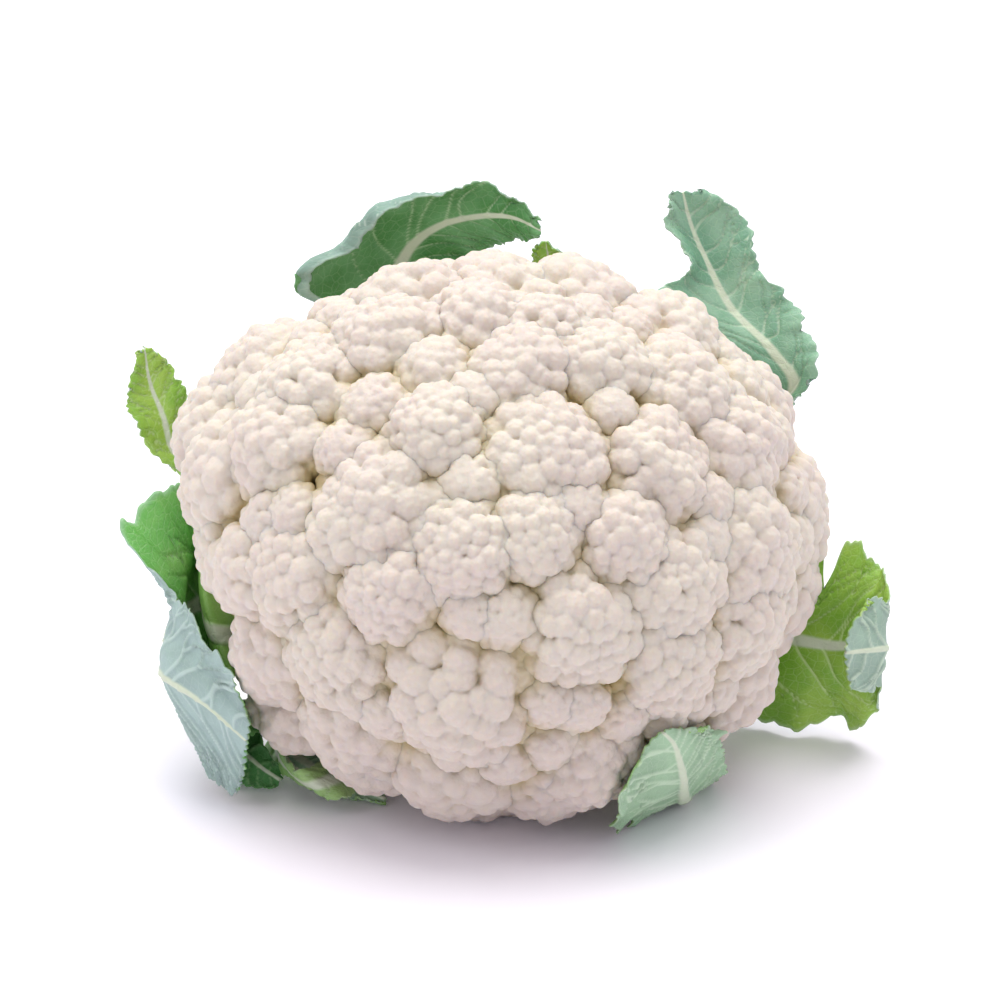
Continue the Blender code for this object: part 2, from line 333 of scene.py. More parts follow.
def floret_reach(ways, radius, rng):
    """How far out a floret's surface lies in each direction from its own middle."""
    widest_share = rng.uniform(0.27, 0.37)
    youngest_share = rng.uniform(0.10, 0.14)
    lump_ways, lump_sizes = branch(radius, youngest_share, widest_share, LUMPED_ANGLE, LUMP_FILL, rng)
    seats = radius * rng.uniform(SEAT_SHARE - 0.03, SEAT_SHARE + 0.03, len(lump_ways)) - lump_sizes * 0.22
    lump_middles = lump_ways * seats[:, None]
    reach, _, each = outermost(ways, lump_middles, lump_sizes)
    reach = np.maximum(reach, radius * CORE_SHARE)
    fine = reach.copy()
    for j, size in enumerate(lump_sizes):
        if size < BUDDED_LUMP:
            continue
        near = np.nonzero(each[:, j] > reach - size * 0.25)[0]
        if not len(near):
            continue
        bud = rng.uniform(1.15, 1.5)
        largest = min(0.42, 1.7 * bud / size)
        bud_ways, bud_sizes = branch(size, bud / size, largest, BUDDED_ANGLE, BUD_FILL, rng)
        bud_ways = bud_ways @ turned_to(lump_ways[j])
        outs = size * rng.uniform(0.97, 1.04, len(bud_ways)) - bud_sizes * 0.80
        bud_reach, _, _ = outermost(ways[near], lump_middles[j] + bud_ways * outs[:, None], bud_sizes)
        fine[near] = np.maximum(fine[near] - 0.02 * size, bud_reach)
    return fine * uneven(ways, SWELL, rng)


# %% [markdown]
# ## Making the florets
#
# Two masks are painted on each floret while its shape is known: how deep a point lies in a crease, and how
# far it lies under the head's outline. The material reads them to paint shade into the creases and clefts,
# and to give the clefts their yellow, partly the inner curd's own colour and partly painted shade.

# %% Helpers for meshes
def spread(values, edges, rounds):
    """Values evened out along a mesh's edges, so many times."""
    count = np.bincount(edges.ravel(), minlength=len(values)).clip(1)
    for _ in range(rounds):
        total = np.bincount(edges[:, 0], values[edges[:, 1]], len(values))
        total += np.bincount(edges[:, 1], values[edges[:, 0]], len(values))
        values = values * 0.5 + total / count * 0.5
    return values


def read_edges(mesh):
    flat = np.empty(len(mesh.edges) * 2, dtype=np.int32)
    mesh.edges.foreach_get("vertices", flat)
    return flat.reshape(-1, 2)


def paint(mesh, name, values):
    """Stores one number a point, for the material to read."""
    layer = mesh.attributes.new(name, "FLOAT", "POINT")
    layer.data.foreach_set("value", np.asarray(values, dtype=np.float32))


def add_object(name, mesh):
    piece = bpy.data.objects.new(name, mesh)
    bpy.context.scene.collection.objects.link(piece)
    return piece


# %% Grow the florets
FACE_SPACING = 0.62
HIDDEN_SPACING = 0.85
CREASE_ROUNDS = 14  # a crease is what so many rounds of evening out would fill
CREASE_DEPTH, CLEFT_DEPTH = 0.9, 14.0  # depths at which the masks are full


def add_floret(index, way, middle, radius, spacing):
    rng = np.random.default_rng(700 + index)
    mesh = blank_for(radius, spacing)
    points = read_points(mesh)
    length = np.linalg.norm(points, axis=1)
    ways = points / length[:, None]
    edges = read_edges(mesh)
    reach = spread(floret_reach(ways, radius, rng), edges, 1)
    crease = spread(reach, edges, CREASE_ROUNDS) - reach
    # Points of the flat cut keep their place in the blank, so that the cut stays flat.
    cut = points[:, 2] < ROOT_CUT + 1e-4
    scale = np.where(cut, radius * length, reach)
    local = middle + (ways * scale[:, None]) @ turned_to(way)
    out = np.linalg.norm(local, axis=1)
    envelope = dome_radius(local / out[:, None]) + FLORET_RISE
    write_points(mesh, keep_above(to_world(local), 0.0) * MM)
    # Both masks carry painted shade: a darker tan in the creases, yellow to near black in the clefts.
    paint(mesh, "crease", np.clip(crease / CREASE_DEPTH, 0, 1))
    paint(mesh, "depth", np.clip((envelope - out) / CLEFT_DEPTH, 0, 1))
    mesh.shade_smooth()
    piece = add_object(f"floret_{index:02d}", mesh)
    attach(piece, "root")
    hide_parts("curd")
    return piece


florets = [
    add_floret(i, way, middle, radius, FACE_SPACING if i < len(FLORETS) else HIDDEN_SPACING)
    for i, (way, middle, radius) in enumerate(ALL_FLORETS + YOUNG_FLORETS)
]
print("floret triangles:", sum(len(p.data.polygons) * 2 for p in florets))

# %% [markdown]
# ## Shared shader groups
#
# Two effects are wanted by more than one material, so each is a node group with named sockets: a cellular
# grain for the fine texture of curd and leaf, and a soft mottling of one colour by another.

# %% Helpers for nodes
def set_inputs(tree, node, inputs):
    """Sets a node's inputs to values, or links them to other nodes' sockets."""
    for key, value in inputs.items():
        if isinstance(value, bpy.types.NodeSocket):
            tree.links.new(value, node.inputs[key])
        else:
            node.inputs[key].default_value = value


def add_node(tree, kind, inputs=None, **settings):
    node = tree.nodes.new(kind)
    for name, value in settings.items():
        setattr(node, name, value)
    set_inputs(tree, node, inputs or {})
    return node


def math_node(tree, operation, a, b=0.0, clamp=False):
    return add_node(tree, "ShaderNodeMath", {0: a, 1: b}, operation=operation, use_clamp=clamp).outputs[0]


def mix_colour(tree, share, first, second):
    return add_node(tree, "ShaderNodeMix", {0: share, 6: first, 7: second}, data_type="RGBA").outputs[2]


def ramp(tree, value, low, high):
    """Runs 0 to 1 as the value runs from low to high, with soft ends."""
    node = add_node(
        tree, "ShaderNodeMapRange", {0: value, 1: low, 2: high, 3: 0.0, 4: 1.0},
        interpolation_type="SMOOTHSTEP",
    )
    return node.outputs[0]


# %% Build the node groups
def new_group(name, inputs, outputs):
    """A shader node group; inputs are (name, socket type, default) and outputs (name, socket type)."""
    group = bpy.data.node_groups.new(name, "ShaderNodeTree")
    for label, kind, value in inputs:
        socket = group.interface.new_socket(name=label, in_out="INPUT", socket_type=kind)
        if value is not None:
            socket.default_value = value
    for label, kind in outputs:
        group.interface.new_socket(name=label, in_out="OUTPUT", socket_type=kind)
    return group, group.nodes.new("NodeGroupInput"), group.nodes.new("NodeGroupOutput")


def cell_grain_group():
    group, given, out = new_group(
        "cell_grain",
        [("Vector", "NodeSocketVector", None), ("Cell Size", "NodeSocketFloat", 0.001),
         ("Softness", "NodeSocketFloat", 0.6)],
        [("Height", "NodeSocketFloat")],
    )
    scale = math_node(group, "DIVIDE", 1.0, given.outputs["Cell Size"])
    cells = add_node(
        group, "ShaderNodeTexVoronoi", {"Vector": given.outputs["Vector"], "Scale": scale},
        feature="SMOOTH_F1",
    )
    group.links.new(given.outputs["Softness"], cells.inputs["Smoothness"])
    round_top = math_node(group, "SUBTRACT", 1.0, cells.outputs["Distance"], clamp=True)
    group.links.new(round_top, out.inputs["Height"])
    return group


def mottle_group():
    group, given, out = new_group(
        "mottle",
        [("Vector", "NodeSocketVector", None), ("Patch Size", "NodeSocketFloat", 0.02),
         ("Amount", "NodeSocketFloat", 0.5), ("Colour", "NodeSocketColor", (1, 1, 1, 1)),
         ("Patch Colour", "NodeSocketColor", (0.5, 0.5, 0.5, 1))],
        [("Colour", "NodeSocketColor")],
    )
    scale = math_node(group, "DIVIDE", 1.0, given.outputs["Patch Size"])
    noise = add_node(
        group, "ShaderNodeTexNoise", {"Vector": given.outputs["Vector"], "Scale": scale, "Detail": 3.0}
    )
    patch = ramp(group, noise.outputs[0], 0.38, 0.66)
    share = math_node(group, "MULTIPLY", patch, given.outputs["Amount"], clamp=True)
    mixed = mix_colour(group, share, given.outputs["Colour"], given.outputs["Patch Colour"])
    group.links.new(mixed, out.inputs["Colour"])
    return group


CELL_GRAIN = cell_grain_group()
MOTTLE = mottle_group()
print("shader groups:", CELL_GRAIN.name, MOTTLE.name)


# %% Helpers for materials
def grained(tree, place, cell_size, softness):
    """The height of a fine cellular grain."""
    inputs = {"Vector": place, "Cell Size": cell_size, "Softness": softness}
    return add_node(tree, "ShaderNodeGroup", inputs, node_tree=CELL_GRAIN).outputs["Height"]


def mottled(tree, place, patch_size, amount, ground, patch):
    """A ground colour with soft patches of another colour over it."""
    inputs = {"Vector": place, "Patch Size": patch_size, "Amount": amount}
    inputs |= {"Colour": ground, "Patch Colour": patch}
    return add_node(tree, "ShaderNodeGroup", inputs, node_tree=MOTTLE).outputs["Colour"]


def new_material(name):
    material = bpy.data.materials.new(name)
    material.use_nodes = True
    return material, material.node_tree, material.node_tree.nodes["Principled BSDF"]


def finish_shader(tree, shader, relief, strength, distance, **inputs):
    """Gives a shader its bump and its other inputs, each named with _ for a space."""
    bump = add_node(tree, "ShaderNodeBump", {"Strength": strength, "Distance": distance, "Height": relief})
    tree.links.new(bump.outputs[0], shader.inputs["Normal"])
    set_inputs(tree, shader, {name.replace("_", " "): value for name, value in inputs.items()})


def attribute(tree, name):
    return add_node(tree, "ShaderNodeAttribute", attribute_name=name).outputs["Fac"]


def colour(red, green, blue):
    return (red, green, blue, 1.0)


# %% [markdown]
# ## The curd's surface
#
# The curd is a dense, slightly waxy cluster of buds. Light goes a little way in, so it has some subsurface
# scattering. Its creases and clefts are painted darker, in a warm tan and yellow: painted shade, with some
# of the inner curd's own yellow. Young lumps are ivory, with a faint pink bloom in patches, and the curd is
# painted darker and pinker towards the table, as painted shade.

# %% The curd's material
def curd_material():
    material, tree, shader = new_material("curd ivory")
    place = add_node(tree, "ShaderNodeTexCoord").outputs["Object"]
    crease, depth = attribute(tree, "crease"), attribute(tree, "depth")
    bloom = mottled(tree, place, 0.045, 0.75, colour(0.66, 0.605, 0.52), colour(0.64, 0.56, 0.505))
    # Painted shade: the curd nearest the table is painted darker and pinker.
    height = add_node(tree, "ShaderNodeSeparateXYZ", {"Vector": place}).outputs["Z"]
    low = math_node(tree, "SUBTRACT", 1.0, ramp(tree, height, 0.0, 0.095))
    painted_low_shade = mix_colour(tree, math_node(tree, "MULTIPLY", low, 0.8), bloom, colour(0.56, 0.48, 0.435))
    # Painted shade: the creases between the buds are painted a darker tan.
    crease_painted_shade = mix_colour(tree, ramp(tree, crease, 0.25, 1.5), painted_low_shade, colour(0.58, 0.475, 0.335))
    # Clefts under the outline are painted yellow, partly the inner curd's own colour and partly painted
    # shade.
    cleft_yellow_and_shade = mix_colour(tree, ramp(tree, depth, 0.40, 0.95), crease_painted_shade, colour(0.50, 0.40, 0.19))
    # Painted shade: the deepest clefts are painted near black.
    dark = mix_colour(tree, ramp(tree, depth, 0.85, 1.0), cleft_yellow_and_shade, colour(0.24, 0.18, 0.08))
    fuzz = add_node(tree, "ShaderNodeTexNoise", {"Vector": place, "Scale": 1500.0, "Detail": 2.0})
    soft = math_node(tree, "MULTIPLY", fuzz.outputs[0], 0.5)
    relief = math_node(tree, "ADD", grained(tree, place, 0.0012, 0.5), soft)
    finish_shader(
        tree, shader, relief, 0.38, 0.0004, Base_Color=dark, Roughness=0.62, Specular_IOR_Level=0.35,
        Subsurface_Weight=0.5, Subsurface_Radius=(1.0, 0.62, 0.32), Subsurface_Scale=0.0032,
    )
    return material


CURD = curd_material()
for piece in florets:
    piece.data.materials.clear()
    piece.data.materials.append(CURD)
print("nodes in the curd's material:", len(CURD.node_tree.nodes))

# %% [markdown]
# ## How a leaf is laid out
#
# A cauliflower's inner leaf leaves the stalk on a stout petiole, passes under the head's rim and curls up
# round the curd. Its rows are the ones the plain leaf was lofted from, with a column added where a margin
# is folded over. A smooth surface runs through them: one table of weights along the leaf and one
# across it turn the few rows into as many points as the detail needs.

# %% Lofting a leaf
STALK_RADIUS = 26.0
PETIOLE_START = STALK_RADIUS + 2.9
BASE_DROP = 12.0
RIM_DROP = 22.0
RIM_ROOM = 4.0
BASE_SHARES = (0.0, 0.45, 0.85)
LEAF_SPACING = 0.7
LEAF_CLEARANCE = 0.9
LEAF_WALL = 0.9  # the sheet before its veins and its underside are worked
LOWEST_SHEET, LOWEST_SIDE = 0.6, 0.02  # heights over the floor


def petiole_rows(turn, width, rim_turn, rim_width, columns, rib):
    """A leaf's hidden rows, from the stalk's side out under the head to just below its rim."""
    rows = []
    for share in BASE_SHARES:
        out = PETIOLE_START + (HEAD_HALF_WIDTH + RIM_ROOM - PETIOLE_START) * share
        fall = -SEAT_DEPTH - BASE_DROP + (SEAT_DEPTH + BASE_DROP - RIM_DROP) * share**2
        middle = turn + (rim_turn - turn) * share
        half = math.degrees((width + (rim_width - width) * share) / 2 / out)
        left = np.linspace(middle + half, middle, rib + 1)
        right = np.linspace(middle, middle - half, columns - rib)[1:]
        angles = np.radians(np.concatenate([left, right]))
        ring = np.stack([out * np.cos(angles), out * np.sin(angles), np.full(columns, fall)], -1)
        rows.append(to_world(ring))
    return rows


def curve_weights(places, count):
    """Each row says how much of each given point lies in a smooth curve's point at that place."""
    span = np.minimum(places.astype(int), count - 2)
    x = places - span
    parts = (2 * x**2 - x**3 - x, 2 - 5 * x**2 + 3 * x**3, x + 4 * x**2 - 3 * x**3, x**3 - x**2)
    weights = np.zeros((len(places), count + 2))
    for step, part in enumerate(parts):
        weights[np.arange(len(places)), span + step] = part / 2
    inner = weights[:, 1:-1].copy()
    inner[:, 0] += 2 * weights[:, 0]
    inner[:, 1] -= weights[:, 0]
    inner[:, -1] += 2 * weights[:, -1]
    inner[:, -2] -= weights[:, -1]
    return inner


def even_places(spans, spacing):
    """Places along a line whose spans have these lengths, about as far apart as the spacing."""
    ends = np.concatenate([[0], np.cumsum(spans)])
    steps = np.linspace(0, ends[-1], max(8, round(ends[-1] / spacing)) + 1)
    return np.interp(steps, ends, np.arange(len(ends)))


def gaps(points, axis):
    return np.linalg.norm(np.diff(points, axis=axis), axis=-1)


print("weights half way from the first of three points:", curve_weights(np.array([0.5]), 3).round(3))

# %% [markdown]
# ## Veins
#
# The side veins leave the rib alternately, sweep towards the tip and fork before the margin. They are drawn
# on the flattened leaf, in millimetres along and across, and each point of the sheet then finds how near it
# is to the nearest one. That one number raises the vein in the mesh and pales it in the material.

# %% Drawing the veins
VEIN_SAMPLES = 16
VEIN_SWEEP = 0.9  # how far a side vein runs on towards the tip, in its reach across


def side_veins(length, half_widths, first, step, rng):
    """Lines of (along, across, half width), one for each side vein or fork of one.

    half_widths(side, along) says how far the margin lies from the rib, in mm."""
    drawn = []
    along, side = first, 1
    while along < length * 0.97:
        for way in (1, -1):
            start = along + (0.35 * step if way == side else 0)
            reach = half_widths(way, start)
            run = VEIN_SWEEP * reach * rng.uniform(0.85, 1.2)
            p = np.linspace(0.02, 1, VEIN_SAMPLES)
            bend = rng.uniform(0.9, 1.5)
            weave = 0.05 * reach * np.sin(p * 9 + rng.uniform(0, 6))
            thick = (0.72 - 0.50 * p) * min(1.0, 0.45 + reach / 40)
            line_along = start + run * p**bend + weave
            line_across = way * reach * p
            drawn.append(np.stack([line_along, line_across, thick], -1))
            for fork, spread_way in ((rng.uniform(0.35, 0.5), 1), (rng.uniform(0.55, 0.7), -1)):
                k = int(fork * VEIN_SAMPLES)
                q = np.linspace(0, 1, VEIN_SAMPLES)
                off = spread_way * reach * (1 - fork) * rng.uniform(0.45, 0.8)
                drawn.append(np.stack([
                    line_along[k] + (run * (1 - fork)) * q + off * q,
                    line_across[k] + way * reach * (1 - fork) * q,
                    thick[k] * (0.75 - 0.45 * q),
                ], -1))
        along += step * rng.uniform(0.85, 1.2)
        step *= 0.97
        side = -side
    return drawn


def vein_field(flat, veins):
    """1 on a vein's middle and 0 away from it, for flattened points one a row."""
    starts = np.concatenate([line[:-1] for line in veins])
    steps = np.concatenate([np.diff(line[:, :2], axis=0) for line in veins])
    squares = (steps**2).sum(1).clip(1e-6)
    field = np.zeros(len(flat))
    for first in range(0, len(flat), 2000):
        off = flat[first : first + 2000, None, :] - starts[None, :, :2]
        share = ((off * steps).sum(-1) / squares).clip(0, 1)
        away = ((off - share[..., None] * steps) ** 2).sum(-1)
        field[first : first + 2000] = np.exp(-away / starts[:, 2] ** 2).max(1)
    return field


sample_veins = side_veins(60, lambda side, along: 20, 20, 9, np.random.default_rng(1))
print("veins and forks on a leaf 60 mm long:", len(sample_veins))

# %% [markdown]
# ## Making a leaf
#
# The sheet starts as a grid, because a grid brings its own rows, columns and map. Its points take their
# places on the lofted surface, with a serrated margin, ruffles that grow towards it and a blade puffed up
# between the veins. Solidify gives the sheet its wall, and each side is then worked by itself: the rib and
# veins stand out under the leaf and sink into its upper face, as they do on the plant.

# %% A map of the head
MAP_TURNS, MAP_HEIGHTS = 240, 110
LIFT_REACH = 4  # rows and columns over which a lift is evened out


def map_cells(ways):
    """Which cell of a map of turns and heights each direction falls in."""
    turn = np.arctan2(ways[:, 1], ways[:, 0]) / (2 * math.pi) + 0.5
    height = ways[:, 2] / 2 + 0.5
    across = (turn * MAP_TURNS).astype(int) % MAP_TURNS
    return across, (height * MAP_HEIGHTS).astype(int).clip(0, MAP_HEIGHTS - 1)


def head_map(pieces):
    """How far the finished florets reach from the head's middle, a cell of the map at a time."""
    reach = np.zeros((MAP_TURNS, MAP_HEIGHTS))
    for piece in pieces:
        local = to_head(read_points(piece.data) / MM)
        length = np.linalg.norm(local, axis=1)
        np.maximum.at(reach, map_cells(local / length[:, None]), length)
    around = [np.roll(reach, (i, j), (0, 1)) for i in (-1, 0, 1) for j in (-1, 0, 1)]
    return np.max(around, axis=0)


HEAD_MAP = head_map(florets)


def neighbours(values, reach, combine):
    """Each value combined with those up to so many rows and columns away."""
    for axis in (0, 1):
        pad = [(reach, reach) if axis == k else (0, 0) for k in (0, 1)]
        padded = np.pad(values, pad, mode="edge")
        values = combine([np.roll(padded, -k, axis) for k in range(2 * reach + 1)], axis=0)
        values = values[: -2 * reach] if axis == 0 else values[:, : -2 * reach]
    return values


def lift_off_head(points, gap):
    """Moves points out along their spokes until they stand a gap off the florets, and over the floor.

    The lift is widened before it is evened out, so it is smooth and nowhere less than needed."""
    local = to_head(points.reshape(-1, 3))
    length = np.linalg.norm(local, axis=1)
    ways = local / length[:, None]
    need = (HEAD_MAP[map_cells(ways)] + gap - length).clip(0).reshape(points.shape[:2])
    lift = neighbours(need, 2 * LIFT_REACH, np.max)
    lift = neighbours(neighbours(lift, LIFT_REACH, np.mean), LIFT_REACH, np.mean)
    lifted = to_world(ways * (length + lift.ravel())[:, None])
    return keep_above(lifted, LOWEST_SHEET).reshape(points.shape)


print("the florets reach", HEAD_MAP.min().round(1), "to", HEAD_MAP.max().round(1), "mm")

# %% The leaf's sheet
END_BAND = 6.0  # how much of a leaf's end is drawn back for its teeth


def ruffle(along, waves, rng):
    """A sum of waves along the margin: (length, height) of each."""
    total = np.zeros_like(along)
    for length, height in waves:
        total += height * np.sin(2 * math.pi * along / length + rng.uniform(0, 6.3))
        total += height * 0.5 * np.sin(2 * math.pi * along / (length * 0.61) + rng.uniform(0, 6.3))
    return total


def sheet_normals(points):
    along, across = np.gradient(points, axis=0), np.gradient(points, axis=1)
    normals = np.cross(across, along)
    return normals / np.linalg.norm(normals, axis=-1, keepdims=True).clip(1e-9)


def by_side(across, left, right):
    """A table of the left side's values on its left and the right side's on its right."""
    return np.where(across < 0, left[:, None], right[:, None])


def leaf_surface(base, seen, rib, seed, wave, teeth, notches):
    """The sheet's points as rows and columns, with their flattened places and their shares to the margin.

    A notch is (side, row of the seen rows, share of the way in to the rib, half width in mm)."""
    rng = np.random.default_rng(seed)
    columns = len(seen[0])
    rows = np.array(petiole_rows(*base, columns, rib) + [np.array(row, dtype=float) for row in seen])
    along_places = even_places(gaps(rows[:, rib], 0), LEAF_SPACING)
    across_places = even_places(gaps(rows, 1)[len(BASE_SHARES) :].mean(0), LEAF_SPACING)
    along_weights = curve_weights(along_places, len(rows))
    points = np.einsum("ij,jkc->ikc", along_weights, rows)
    points = np.einsum("kl,ilc->ikc", curve_weights(across_places, columns), points)
    middle = int(np.abs(across_places - rib).argmin())
    across = np.concatenate([np.zeros((len(points), 1)), np.cumsum(gaps(points, 1), 1)], 1)
    across -= across[:, middle : middle + 1]
    along = np.concatenate([[0], np.cumsum(gaps(points[:, middle], 0))])
    edge = np.where(across < 0, across[:, :1], across[:, -1:])
    share = np.abs(across / np.where(np.abs(edge) < 0.5, 0.5, edge)).clip(0, 1)
    # The margin is toothed and lobed by sliding the outer points in towards the rib.
    grown = np.interp(along / along[-1], (0.30, 0.5), (0, 1))
    all_lobes, all_teeth = [], []
    for side in (-1, 1):
        all_lobes.append(grown * ruffle(along, ((23.0, 0.06 * wave), (11.0, 0.03 * wave)), rng))
        beat = (along + rng.uniform(0, 4)) / (3.4 + 0.8 * side) + 0.35 * np.sin(along / 5)
        all_teeth.append(grown * teeth * np.abs(beat % 1 - 0.35))
    lobes, tooth = by_side(across, *all_lobes), by_side(across, *all_teeth)
    reach = np.abs(edge).clip(1)
    slide = (lobes + 0.05 * wave) * share**2 + tooth / reach * 2.2 * share**8
    for side, row, deep, half in notches:
        place = np.interp(row + len(BASE_SHARES), along_places, along)
        cleft = deep * (1 - np.abs(along - place) / half).clip(0)
        slide = slide + cleft[:, None] * share**1.5 * (across * side > 0)
    rib_line = points[:, middle : middle + 1]
    points = points + (rib_line - points) * slide[..., None].clip(0, 0.7)
    # The tip's end is toothed too, by drawing its last rows back.
    end = ((along - along[-1] + END_BAND) / END_BAND).clip(0, 1)[:, None]
    notch = np.abs((across / 3.0 + 0.3 * np.sin(across / 4)) % 1 - 0.4) * 2.0 * teeth
    notch += 0.8 * wave * (1 + np.sin(across / 4.5 + seed))
    forward = np.gradient(points, axis=0)
    forward /= np.linalg.norm(forward, axis=-1, keepdims=True).clip(1e-9)
    points = points - forward * (notch * end**3)[..., None]
    # Ruffles stand off the sheet and grow towards the margin.
    normals = sheet_normals(points)
    left_wave = grown * ruffle(along, ((17.0, 1.0 * wave), (8.0, 0.4 * wave)), rng)
    right_wave = grown * ruffle(along, ((15.0, 1.0 * wave), (7.0, 0.4 * wave)), rng)
    wavy = by_side(across, left_wave, right_wave)
    points = points + normals * (wavy * share**3)[..., None]
    return points, along, across, share


# %% [markdown]
# ## From sheet to leaf
#
# Solidify moves each point of the grid to both sides, first all of one side and then all of the other. The
# masks are painted in the same order, so the material knows the upper face from the underside.

# %% Give the sheet its wall
LEAF_MAP = "leaf_map"
MAP_SCALE = 100  # mm of leaf in one unit of its map


def solid_sheet(name, points, flat):
    """A grid laid through the points, with their flattened places as its map and a wall of even width."""
    rows, columns = points.shape[:2]
    bpy.ops.object.select_all(action="DESELECT")
    bpy.ops.mesh.primitive_grid_add(x_subdivisions=columns - 1, y_subdivisions=rows - 1, size=1)
    leaf = bpy.context.object
    leaf.name = leaf.data.name = name
    write_points(leaf.data, points.reshape(-1, 3) * MM)
    leaf.data.uv_layers.active.name = LEAF_MAP
    corners = np.empty(len(leaf.data.loops), dtype=np.int32)
    leaf.data.loops.foreach_get("vertex_index", corners)
    places = (flat[corners] / MAP_SCALE).astype(np.float32)
    leaf.data.uv_layers.active.data.foreach_set("uv", places.ravel())
    wall = leaf.modifiers.new("wall", "SOLIDIFY")
    wall.thickness = LEAF_WALL * MM
    wall.offset = 0
    bpy.ops.object.modifier_apply(modifier="wall")
    return leaf

# %% The leaf maker
def add_leaf(
    name, base, seen, rib, material, seed, wave=1.0, teeth=0.9, vein_step=9.0, stout=1.0, notches=()
):
    rng = np.random.default_rng(seed + 50)
    points, along, across, share = leaf_surface(base, seen, rib, seed, wave, teeth, notches)
    shape = share.shape
    length = along[-1]
    reach_left, reach_right = np.abs(across[:, 0]), across[:, -1]

    def half_widths(side, place):
        return float(np.interp(place, along, reach_left if side < 0 else reach_right)) + 1.0

    flat = np.stack([np.broadcast_to(along[:, None], shape), across], -1).reshape(-1, 2)
    veins = side_veins(length, half_widths, length * 0.36, vein_step, rng)
    vein = vein_field(flat, veins).reshape(shape)
    shown = along / length
    rib_half = stout * np.interp(shown, (0, 0.4, 0.7, 1.0), (4.6, 3.6, 1.9, 0.5))
    across_rib = (np.abs(across) / rib_half[:, None]).clip(0, 3)
    rib_round = np.sqrt((1 - across_rib**2).clip(0))
    rib_mask = np.exp(-(across_rib**2) * 0.9)
    leafy = np.interp(shown, (0.28, 0.42), (0, 1))[:, None]
    puff = (1 - vein) * (1 - rib_mask) * leafy * np.sin(math.pi * share.clip(0, 1)) * 0.7
    points = points + sheet_normals(points) * puff[..., None]
    points = lift_off_head(points, LEAF_CLEARANCE)
    leaf = solid_sheet(name, points, flat)
    both = read_points(leaf.data) / MM
    count = len(flat)
    middle, normal = (both[:count] + both[count:]) / 2, (both[:count] - both[count:]) / LEAF_WALL
    facing = 1 if (normal.reshape(*shape, 3) * sheet_normals(points)).sum() > 0 else -1
    normal = normal * facing
    rib_high = stout * np.interp(shown, (0, 0.4, 0.7, 1.0), (4.0, 2.8, 1.3, 0.3))[:, None] * rib_round
    thin = 0.5 * LEAF_WALL * (1 - 0.45 * share**4)
    upper = thin - 0.28 * vein * leafy + 0.25 * rib_high
    under = thin + 0.42 * vein * leafy * (1 - 0.6 * share) + 0.75 * rib_high
    sides = (middle + normal * upper.reshape(-1, 1), middle - normal * under.reshape(-1, 1))
    write_points(leaf.data, keep_above(np.concatenate(sides[::facing]), LOWEST_SIDE) * MM)
    paint(leaf.data, "upper_side", np.repeat((1.0, 0.0)[::facing], count))
    masks = {"vein": vein * leafy, "rib": rib_mask, "margin": share}
    masks["along"] = np.broadcast_to(shown[:, None], shape)
    for mask, values in masks.items():
        paint(leaf.data, mask, np.tile(values.ravel(), 2))
    leaf.data.shade_smooth()
    leaf.data.materials.append(material)
    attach(leaf, "root")
    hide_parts(name)
    print(name, "rows and columns:", shape, "length:", round(length, 1), "mm")
    return leaf


# %% [markdown]
# ## Leaf finishes
#
# The upper face of a brassica leaf is green and a little glossy. Its underside is paler and dull with wax.
# Both are one material here, which reads which side it is on, how near a vein runs and how far out it is.

# %% The leaf material
def leaf_material(name, upper, upper_young, under, vein_colour, under_vein, base_colour):
    material, tree, shader = new_material(name)
    place = add_node(tree, "ShaderNodeTexCoord").outputs["Object"]
    flat = add_node(tree, "ShaderNodeUVMap", uv_map=LEAF_MAP).outputs["UV"]
    side, vein, rib = attribute(tree, "upper_side"), attribute(tree, "vein"), attribute(tree, "rib")
    margin, along = attribute(tree, "margin"), attribute(tree, "along")
    top = mottled(tree, place, 0.016, 0.9, colour(*upper), colour(*upper_young))
    bottom = mottled(tree, place, 0.012, 0.6, colour(*under), colour(*(0.72 * c for c in under)))
    net = add_node(
        tree, "ShaderNodeTexVoronoi", {"Vector": flat, "Scale": 34.0, "Randomness": 0.9},
        feature="DISTANCE_TO_EDGE", voronoi_dimensions="2D",
    ).outputs["Distance"]
    fine_net = add_node(
        tree, "ShaderNodeTexVoronoi", {"Vector": flat, "Scale": 95.0}, feature="DISTANCE_TO_EDGE",
        voronoi_dimensions="2D",
    ).outputs["Distance"]
    thread = math_node(tree, "SUBTRACT", 1.0, ramp(tree, net, 0.0, 0.09))
    hair = math_node(tree, "SUBTRACT", 1.0, ramp(tree, fine_net, 0.0, 0.12))
    threads = math_node(tree, "MULTIPLY", thread, 0.20)
    web = math_node(tree, "ADD", threads, math_node(tree, "MULTIPLY", hair, 0.08))
    strand = math_node(tree, "MULTIPLY", ramp(tree, vein, 0.30, 1.0), 0.8)
    pale = math_node(tree, "MAXIMUM", strand, web)
    top = mix_colour(tree, pale, top, colour(*vein_colour))
    bottom = mix_colour(tree, pale, bottom, colour(*under_vein))
    face = mix_colour(tree, side, bottom, top)
    edge = math_node(tree, "MULTIPLY", ramp(tree, margin, 0.93, 1.0), 0.35)
    face = mix_colour(tree, edge, face, colour(*under_vein))
    low = math_node(tree, "SUBTRACT", 1.0, ramp(tree, along, 0.30, 0.62))
    face = mix_colour(tree, math_node(tree, "MULTIPLY", low, 0.65), face, colour(*base_colour))
    ribbed = mix_colour(tree, ramp(tree, rib, 0.25, 0.75), face, colour(0.60, 0.67, 0.51))
    gloss = add_node(tree, "ShaderNodeMapRange", {0: side, 3: 0.62, 4: 0.42}).outputs[0]
    grain = grained(tree, place, 0.0009, 0.3)
    relief = math_node(tree, "SUBTRACT", math_node(tree, "MULTIPLY", grain, 0.35), web)
    finish_shader(
        tree, shader, relief, 0.6, 0.0005, Base_Color=ribbed, Roughness=gloss, Specular_IOR_Level=0.45,
        Subsurface_Weight=0.12, Subsurface_Radius=(0.5, 1.0, 0.3), Subsurface_Scale=0.0012,
    )
    return material

